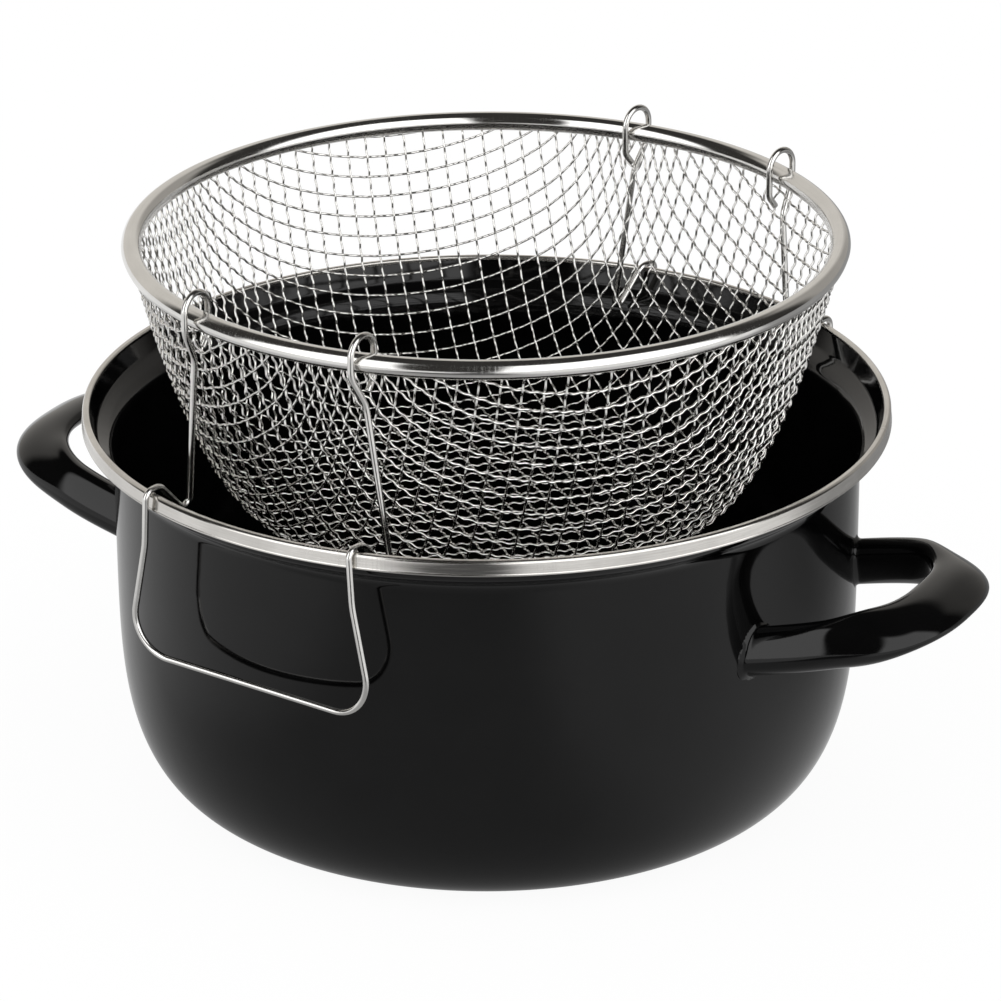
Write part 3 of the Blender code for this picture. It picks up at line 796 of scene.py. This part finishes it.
def basket_rim(finish):
    """A tube rolled from sheet: its upper part laps over the lower one on the outside."""
    def place(angle, radius):
        turn = RIM_LAP_ANGLE + angle
        return (
            BASKET_RIM_RADIUS + radius * math.cos(turn),
            BASKET_RIM_HEIGHT + radius * math.sin(turn),
        )

    start, end = RIM_NARROWS
    profile = []
    for side in range(RIM_SIDES):
        share = side / RIM_SIDES
        narrow = min(max((share - start) / (end - start), 0.0), 1.0)
        profile.append(place(math.tau * share, BASKET_RIM_TUBE - RIM_LAP * narrow))
    profile += [place(angle, BASKET_RIM_TUBE - RIM_LAP) for angle in RIM_LAP_CORNERS]
    thing = turned("basket_rim_tube", profile, True)
    thing.data.materials.append(finish)
    return thing


def bowl_height(radius):
    """A flat floor, from whose edge the wall rises as a parabola."""
    out = max(radius - BASKET_FLOOR_RADIUS, 0) / BOWL_WIDE
    return BASKET_FLOOR_HEIGHT + BOWL_RISE * out * out


def on_bowl(x, y):
    """The point of the bowl over a point of its plan."""
    return Vector((x, y, bowl_height(math.hypot(x, y))))


def bowl_facing(point):
    """Outwards and down from the bowl's outer face."""
    radius = math.hypot(point.x, point.y)
    if radius <= BASKET_FLOOR_RADIUS:
        return Vector((0, 0, -1))
    rise = 2 * BOWL_RISE * (radius - BASKET_FLOOR_RADIUS) / BOWL_WIDE**2
    return Vector((point.x * rise / radius, point.y * rise / radius, -1)).normalized()


def next_node(first, second, corner, reach):
    """The node a given reach from two neighbours, on the far side from the corner they share."""
    guess = first + second - corner
    x, y = guess.x, guess.y
    step = reach / NODE_TRIAL_PARTS
    for _ in range(NODE_TRIES):
        point = on_bowl(x, y)
        to_first, to_second = point - first, point - second
        misses = (to_first.length - reach, to_second.length - reach)
        if max(abs(misses[0]), abs(misses[1])) < NODE_MISS:
            break
        along_x = (on_bowl(x + step, y) - point) / step
        along_y = (on_bowl(x, y + step) - point) / step
        to_first.normalize()
        to_second.normalize()
        a, b = to_first.dot(along_x), to_first.dot(along_y)
        c, d = to_second.dot(along_x), to_second.dot(along_y)
        scale = a * d - b * c
        if abs(scale) < NODE_IN_LINE:
            return None
        x -= (misses[0] * d - misses[1] * b) / scale
        y -= (a * misses[1] - c * misses[0]) / scale
    return on_bowl(x, y)


def straight_wire(azimuth, count, reach):
    """Nodes of the wire that runs from the bottom's middle up the wall at one azimuth, which it
    leaves a little towards the rim."""
    nodes = []
    radius = 0.0
    step = reach / ARC_STEPS
    for _ in range(count):
        late = max(0.0, radius - CLOTH_TWIST_FROM) / (BASKET_RIM_RADIUS - CLOTH_TWIST_FROM)
        angle = azimuth + CLOTH_TWIST * late
        nodes.append(on_bowl(radius * math.cos(angle), radius * math.sin(angle)))
        for _ in range(ARC_STEPS):
            rise = bowl_height(radius + step) - bowl_height(radius)
            radius += step * step / math.hypot(step, rise)
    return nodes


def wedge(first_azimuth, second_azimuth, count, reach):
    """Nodes of the cloth between two straight wires. Its wires keep their length and shear where
    they cross, as a flat woven square does when it is pressed into a bowl."""
    nodes = {}
    for place, node in enumerate(straight_wire(first_azimuth, count, reach)):
        nodes[place, 0] = node
    for place, node in enumerate(straight_wire(second_azimuth, count, reach)):
        nodes[0, place] = node
    limit = MESH_END_HEIGHT + 2 * reach
    for row in range(1, count):
        for column in range(1, count):
            below, beside_it = nodes.get((row - 1, column)), nodes.get((row, column - 1))
            corner = nodes.get((row - 1, column - 1))
            if below is None or beside_it is None or corner.z > limit:
                break
            node = next_node(below, beside_it, corner, reach)
            if node is None:
                break
            nodes[row, column] = node
    return nodes


class Net:
    """The whole cloth as nodes (across, along) counted from the middle of the bottom."""

    def __init__(self):
        reach = CLOTH_PITCH / NODES_PER_CELL
        slope = math.hypot(BOWL_WIDE, BOWL_RISE)
        self.count = math.ceil(CLOTH_SPARE * (BASKET_FLOOR_RADIUS + slope) / reach)
        up = CLOTH_TURN + math.pi / 2 + CLOTH_SHEAR
        self.near = wedge(CLOTH_TURN, up, self.count, reach)
        self.far = wedge(up, CLOTH_TURN + math.pi, self.count, reach)

    def node(self, across, along):
        """One node, or None past the cloth's edge. Two quarters are found and the other two are
        the same, turned half round the Z axis."""
        if across * along >= 0:
            found = self.near.get((abs(across), abs(along)))
            back = across < 0 or along < 0
        else:
            found = self.far.get((abs(along), abs(across)))
            back = along < 0
        if found is None or found.z > MESH_END_HEIGHT:
            return None
        return Vector((-found.x, -found.y, found.z)) if back else found

    def wire(self, fixed, along_it):
        """The (place, node) pairs of one wire from rim to rim."""
        sides = []
        for way in (-1, 1):
            run = []
            place = 0 if way == 1 else -1
            while True:
                node = self.node(fixed, place) if along_it else self.node(place, fixed)
                if node is None:
                    break
                run.append((place, node))
                place += way
            sides.append(run)
        return sides[0][::-1] + sides[1]


def way_out(radius, aside):
    """How far out a point lies, in its bail's direction, that is at a radius and to one side."""
    return math.sqrt(radius**2 - aside**2)


def eye_holes():
    """Where the eyes of the bails go through the cloth below the rim."""
    height = BASKET_RIM_HEIGHT - EYE_HOLE_DROP
    share = (height - BASKET_FLOOR_HEIGHT) / BOWL_RISE
    out = way_out(BASKET_FLOOR_RADIUS + BOWL_WIDE * math.sqrt(share), EYE_HALF_SPREAD)
    holes = []
    for direction in (FRONT_BAIL_DIRECTION, REAR_BAIL_DIRECTION):
        for side in (-1, 1):
            point = Vector((out, side * EYE_HALF_SPREAD, height))
            holes.append(Matrix.Rotation(direction, 3, "Z") @ point)
    return holes


def parted(point, holes):
    """Moves a point of the cloth aside where an eye goes through it."""
    for hole in holes:
        away = point - hole
        if away.length < EYE_HOLE_REACH:
            facing = bowl_facing(hole)
            away -= facing * away.dot(facing)
            far = max(away.length, EYE_HOLE_MIDDLE)
            moved = math.sqrt(far * far + EYE_HOLE_RADIUS**2) - far
            fade = max(0.0, 1 - far / EYE_HOLE_REACH)
            point = point + away.normalized() * moved * fade
    return point


def cloth_line(run, first, sign, holes):
    """One wire of the cloth as (point, facing, wave). It swings over and under at the crossings
    and has a whole wave more in between, as deep-crimped wire has."""
    line = []
    for (place, node), (_, onward) in zip(run, run[1:]):
        for step in range(POINTS_PER_NODE):
            share = step / POINTS_PER_NODE
            cells = (place + share - first) / NODES_PER_CELL
            point = node.lerp(onward, share)
            wave = sign * math.cos(math.pi * HALF_WAVES_PER_CELL * cells)
            line.append((parted(point, holes), bowl_facing(point), wave))
    return line


def cloth(finish):
    """Two crossing sets of wires, each in two halves, woven over and under."""
    net = Net()
    holes = eye_holes()
    names = ("cloth_warp_left", "cloth_warp_right", "cloth_weft_front", "cloth_weft_back")
    halves = {name: [] for name in names}
    cells = net.count // NODES_PER_CELL
    for cell in range(-cells, cells + 1):
        sign = 1 if cell % 2 else -1
        warp = net.wire(cell * NODES_PER_CELL + FIRST_NODE, True)
        if len(warp) > NODES_PER_CELL:
            name = "cloth_warp_left" if cell < 0 else "cloth_warp_right"
            halves[name].append(cloth_line(warp, 0, sign, holes))
        weft = net.wire(cell * NODES_PER_CELL, False)
        if len(weft) > NODES_PER_CELL:
            name = "cloth_weft_front" if cell < 0 else "cloth_weft_back"
            halves[name].append(cloth_line(weft, FIRST_NODE, -sign, holes))
    return [
        wires(name, lines, CLOTH_WIRE_RADIUS, CLOTH_WIRE_SIDES, finish, CLOTH_CRIMP)
        for name, lines in halves.items()
    ]


# Bails


def bail_corners():
    """Half of a bail from its cut end at the eye to the middle of its grip, as
    ((way out, aside, height), bend radius)."""
    rim_out = way_out(BASKET_RIM_RADIUS, EYE_HALF_SPREAD)
    inner = rim_out - EYE_HALF_WIDTH
    outer = rim_out + EYE_HALF_WIDTH
    grip_out = way_out(GRIP_RADIUS, GRIP_PLANE_ASIDE)
    eye_top = BASKET_RIM_HEIGHT + EYE_RISE
    eye_foot = BASKET_RIM_HEIGHT - EYE_DROP
    end_out = inner + EYE_END_LENGTH * math.sin(EYE_END_SLANT)
    end_height = eye_foot - EYE_END_LENGTH * math.cos(EYE_END_SLANT)
    return [
        ((end_out, EYE_HALF_SPREAD, end_height), 0),
        ((inner, EYE_HALF_SPREAD, eye_foot), EYE_END_BEND),
        ((inner, EYE_HALF_SPREAD, eye_top), EYE_HALF_WIDTH),
        ((outer, EYE_HALF_SPREAD, eye_top), EYE_HALF_WIDTH),
        ((outer, EYE_HALF_SPREAD, BASKET_RIM_HEIGHT - LEG_BEND_DROP), LEG_BEND),
        ((rim_out, LEG_TOP_ASIDE, BASKET_RIM_HEIGHT - LEG_TOP_DROP), LEG_BEND),
        ((way_out(FOOT_RADIUS, FOOT_ASIDE), FOOT_ASIDE, FOOT_HEIGHT), FOOT_BEND),
        ((way_out(HOOK_RADIUS, HOOK_ASIDE), HOOK_ASIDE, HOOK_HEIGHT), HOOK_INNER_BEND),
        ((grip_out, HOOK_ASIDE, HOOK_HEIGHT), HOOK_OUTER_BEND),
        ((grip_out, GRIP_TOP_ASIDE, GRIP_TOP_HEIGHT), GRIP_TOP_BEND),
        ((grip_out, GRIP_ASIDE, GRIP_HEIGHT), GRIP_BEND),
        ((grip_out, 0.0, GRIP_HEIGHT), 0),
    ]


def bail(name, direction, finish):
    """One wire from eye to eye, hung on the basket's rim in its own direction."""
    half = rounded([(Vector(point), radius) for point, radius in bail_corners()])
    whole = half + [Vector((p.x, -p.y, p.z)) for p in reversed(half[:-1])]
    turn = Matrix.Rotation(direction, 3, "Z")
    line = []
    for point in whole:
        point = turn @ point
        if not line or (point - line[-1][0]).length > SAME_PLACE:
            line.append((point, UP, 0.0))
    return wires(name, [line], BAIL_WIRE, BAIL_SIDES, finish)


# Studio


def camera():
    """At the photograph's viewpoint: it looks down 23.5 degrees, with a hair of yaw and roll."""
    data = bpy.data.cameras.new("camera")
    data.sensor_width = SENSOR_WIDTH
    data.lens = SENSOR_WIDTH * FOCAL_LENGTH_PIXELS / PHOTO_WIDTH_PIXELS
    data.clip_start, data.clip_end = CAMERA_RANGE
    thing = link(bpy.data.objects.new("camera", data))
    level = Vector((math.sin(CAMERA_YAW), math.cos(CAMERA_YAW), 0))
    forward = level * math.cos(CAMERA_PITCH) - UP * math.sin(CAMERA_PITCH)
    right = Vector((math.cos(CAMERA_YAW), -math.sin(CAMERA_YAW), 0))
    up = right.cross(forward)
    spun_right = right * math.cos(CAMERA_ROLL) + up * math.sin(CAMERA_ROLL)
    spun_up = up * math.cos(CAMERA_ROLL) - right * math.sin(CAMERA_ROLL)
    axes = Matrix((spun_right, spun_up, -forward)).transposed()
    back = CAMERA_BACK * TRIM_RADIUS
    high = POT_HEIGHT + CAMERA_OVER_RIM * TRIM_RADIUS
    turn = Matrix.Rotation(CAMERA_DIRECTION, 4, "Z")
    thing.matrix_world = turn @ Matrix.Translation((0, -back, high)) @ axes.to_4x4()
    bpy.context.scene.camera = thing


def from_camera(right, near, up):
    """A point or direction of the room: to the right of the camera's line, towards it and up."""
    return Matrix.Rotation(CAMERA_DIRECTION, 3, "Z") @ Vector((right, -near, up))


def softbox(name, side):
    """A flat lamp of even brightness, on the left (-1) or right (1) of the camera. It lights the
    scene, but reflections show the room only."""
    width, height = SOFTBOX_SIZE
    data = bpy.data.lights.new(name, "AREA")
    data.shape = "RECTANGLE"
    data.size, data.size_y = width, height
    data.energy = SOFTBOX_BRIGHT * math.pi * width * height
    thing = link(bpy.data.objects.new(name, data))
    place = from_camera(side * SOFTBOX_ASIDE, SOFTBOX_NEAR, SOFTBOX_HEIGHT)
    thing.location = place
    thing.rotation_mode = "QUATERNION"
    thing.rotation_quaternion = (Vector(SOFTBOX_TARGET) - place).to_track_quat("-Z", "Y")
    thing.visible_camera = False
    thing.visible_glossy = False


def world():
    """White for the camera. Polished faces see two tall softboxes beside the camera with a dark
    gap between them, a low warm grey wall behind the pot that is darker on its right side, and
    dark everywhere else."""
    room = bpy.data.worlds.new("studio")
    bpy.context.scene.world = room
    room.use_nodes = True
    room.node_tree.nodes.clear()
    nodes = Nodes(room.node_tree)
    way = nodes.add("ShaderNodeTexCoord").outputs["Generated"]
    near = nodes.along(way, from_camera(0, 1, 0))
    height = nodes.along(way, UP)
    right = nodes.along(way, from_camera(1, 0, 0))
    from_right_edge = nodes.along(way, from_camera(1, -GAP_RIGHT, -GAP_RIGHT_TILT))
    from_left_edge = nodes.along(way, from_camera(-1, -GAP_LEFT, -GAP_LEFT_TILT))
    right_box = nodes.ramp(from_right_edge, *BOX_EDGE, 0.0, 1.0)
    left_box = nodes.ramp(from_left_edge, *BOX_EDGE, 0.0, 1.0)
    both = nodes.math("MAXIMUM", right_box, left_box)
    before = nodes.ramp(near, *BOX_NEAR, 0.0, BOX_BRIGHT)
    below = nodes.ramp(height, *BOX_TOP, 1.0, 0.0)
    boxes = nodes.times(both, before, below)
    low = nodes.ramp(height, *WALL_TOP, WALL_BRIGHT, 0.0)
    behind = nodes.ramp(near, *WALL_NEAR, 1.0, 0.0)
    fading = nodes.ramp(right, *WALL_DARK_RIGHT, 1.0, WALL_DARK_SHARE)
    wall = nodes.math("MAXIMUM", nodes.times(low, behind, fading), ROOM_DARK)

    def glow(colour, strength):
        return nodes.result("ShaderNodeBackground", {"Color": (*colour, 1), "Strength": strength})

    shown = {0: glow(WALL_COLOUR, wall), 1: glow((1, 1, 1), boxes)}
    reflected = nodes.result("ShaderNodeAddShader", shown)
    rays = nodes.add("ShaderNodeLightPath").outputs
    seen = nodes.mix(rays["Is Glossy Ray"], glow((1, 1, 1), ROOM_LIGHT), reflected)
    final = nodes.mix(rays["Is Camera Ray"], seen, glow((1, 1, 1), 1.0))
    nodes.add("ShaderNodeOutputWorld", {"Surface": final})


def painted_floor_light_and_shade(nodes, place):
    """The floor's glow for glossy rays, with painted light and shade: a painted shadow, grey, near
    the pot, painted shade further out towards the camera and to the right behind the pot, and
    painted light below the softboxes and the wall."""
    to_right = nodes.along(place, from_camera(1, 0, 0))
    to_camera = nodes.along(place, from_camera(0, 1, 0))
    from_gap = nodes.math("SUBTRACT", to_right, FLOOR_GAP_MIDDLE)
    aside = nodes.math("ABSOLUTE", from_gap, 0.0)
    beside_gap = nodes.ramp(aside, *FLOOR_GAP_REACH, 0.0, 1.0)
    behind_gap = nodes.ramp(to_camera, *FLOOR_GAP_FRONT, 1.0, 0.0)
    lit = nodes.math("MAXIMUM", beside_gap, behind_gap)
    near_pot = nodes.ramp(lit, 0.0, 1.0, *FLOOR_PAINTED_LIGHT_NEAR_POT)
    far_out = nodes.ramp(lit, 0.0, 1.0, *FLOOR_PAINTED_LIGHT_FAR_OUT)
    painted_light = nodes.ramp(nodes.length(place), *FLOOR_FAR_REACH, near_pot, far_out)
    right = nodes.ramp(to_right, *FLOOR_PAINTED_SHADE_RIGHT, 0.0, 1.0)
    behind = nodes.ramp(to_camera, *FLOOR_PAINTED_SHADE_BEHIND, 0.0, 1.0)
    painted_shade = nodes.times(right, behind, FLOOR_PAINTED_SHADE_SHARE)
    return nodes.times(painted_light, nodes.math("SUBTRACT", 1.0, painted_shade))


def floor():
    """A pale floor that keeps the pot's shadow and is white elsewhere. Glossy rays see it glow
    with painted light and shade.
    """
    signs = ((-1, -1), (1, -1), (1, 1), (-1, 1))
    corners = [(x * FLOOR_HALF_WIDTH, y * FLOOR_HALF_WIDTH, FLOOR_HEIGHT) for x, y in signs]
    thing = object_from("floor", corners, [(0, 1, 2, 3)])
    material = bpy.data.materials.new("floor")
    material.use_nodes = True
    material.node_tree.nodes.clear()
    nodes = Nodes(material.node_tree)
    place = nodes.add("ShaderNodeTexCoord").outputs["Object"]
    reflected = painted_floor_light_and_shade(nodes, place)
    rays = nodes.add("ShaderNodeLightPath").outputs
    straight = rays["Is Camera Ray"]
    white = nodes.times(straight, FLOOR_WHITE)
    # Glossy rays see the floor's painted light and shade: its painted shadow, shade and light.
    glossy_painted_light = nodes.times(rays["Is Glossy Ray"], reflected)
    strength = nodes.math("ADD", white, glossy_painted_light)
    either = nodes.math("MAXIMUM", straight, rays["Is Glossy Ray"])
    share = nodes.times(either, FLOOR_GLOW_SHARE)
    glow = nodes.result("ShaderNodeEmission", {"Strength": strength})
    pale = nodes.result("ShaderNodeBsdfDiffuse", {"Color": FLOOR_PAINT})
    nodes.add("ShaderNodeOutputMaterial", {"Surface": nodes.mix(share, pale, glow)})
    thing.data.materials.append(material)


def studio():
    world()
    floor()
    softbox("left_softbox", -1)
    softbox("right_softbox", 1)
    bpy.context.scene.view_settings.view_transform = "Standard"
    camera()


# The whole


def settle(piece, body, slot, *nodes):
    """Gives a finished piece its body and hides the nodes it takes the place of. The material slot
    it is given is not used.
    """
    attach(piece, body)
    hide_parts(*nodes)


def main():
    black = enamel(
        "body_enamel", dark=(0.0015, 0.0015, 0.0016), light=(0.003, 0.003, 0.0031), gloss=0.05
    )
    handle_black = enamel(
        "handle_enamel", dark=(0.0015, 0.0015, 0.0016), light=(0.0028, 0.0028, 0.003), gloss=0.06
    )
    trim_steel = polished(
        "trim_steel", bright=(0.74, 0.72, 0.69), dull=(0.47, 0.455, 0.43),
        low=0.13, high=0.24, along=9.0, across=2600.0,
    )
    rim_steel = polished(
        "rim_steel", bright=(0.78, 0.77, 0.75), dull=(0.66, 0.65, 0.63),
        low=0.08, high=0.16, along=9.0, across=2200.0,
    )
    cloth_wire = drawn_wire(
        "cloth_wire", bright=(0.86, 0.85, 0.83), dull=(0.70, 0.69, 0.67),
        low=0.07, high=0.15, patches=300.0,
    )
    bail_wire = drawn_wire(
        "bail_wire", bright=(0.76, 0.75, 0.73), dull=(0.66, 0.65, 0.63),
        low=0.12, high=0.2, patches=160.0,
    )
    settle(pot_body(black), "pot", "black_enamel", "pot_body")
    settle(trim(trim_steel), "pot", "polished_trim", "pot_rim_trim")
    settle(handle("right_loop_handle", 0.0, handle_black), "pot", "handle_enamel", "right_handle")
    settle(handle("left_loop_handle", math.pi, handle_black), "pot", "handle_enamel", "left_handle")
    settle(basket_rim(rim_steel), "basket", "polished_rim", "basket_rim")
    for piece in cloth(cloth_wire):
        settle(piece, "basket", "mesh_wire", "basket_mesh")
    front = bail("front_bail_wire", FRONT_BAIL_DIRECTION, bail_wire)
    settle(front, "front_bail", "bail_wire", "front_bail")
    rear = bail("rear_bail_wire", REAR_BAIL_DIRECTION, bail_wire)
    settle(rear, "rear_bail", "bail_wire", "rear_bail")
    studio()


main()
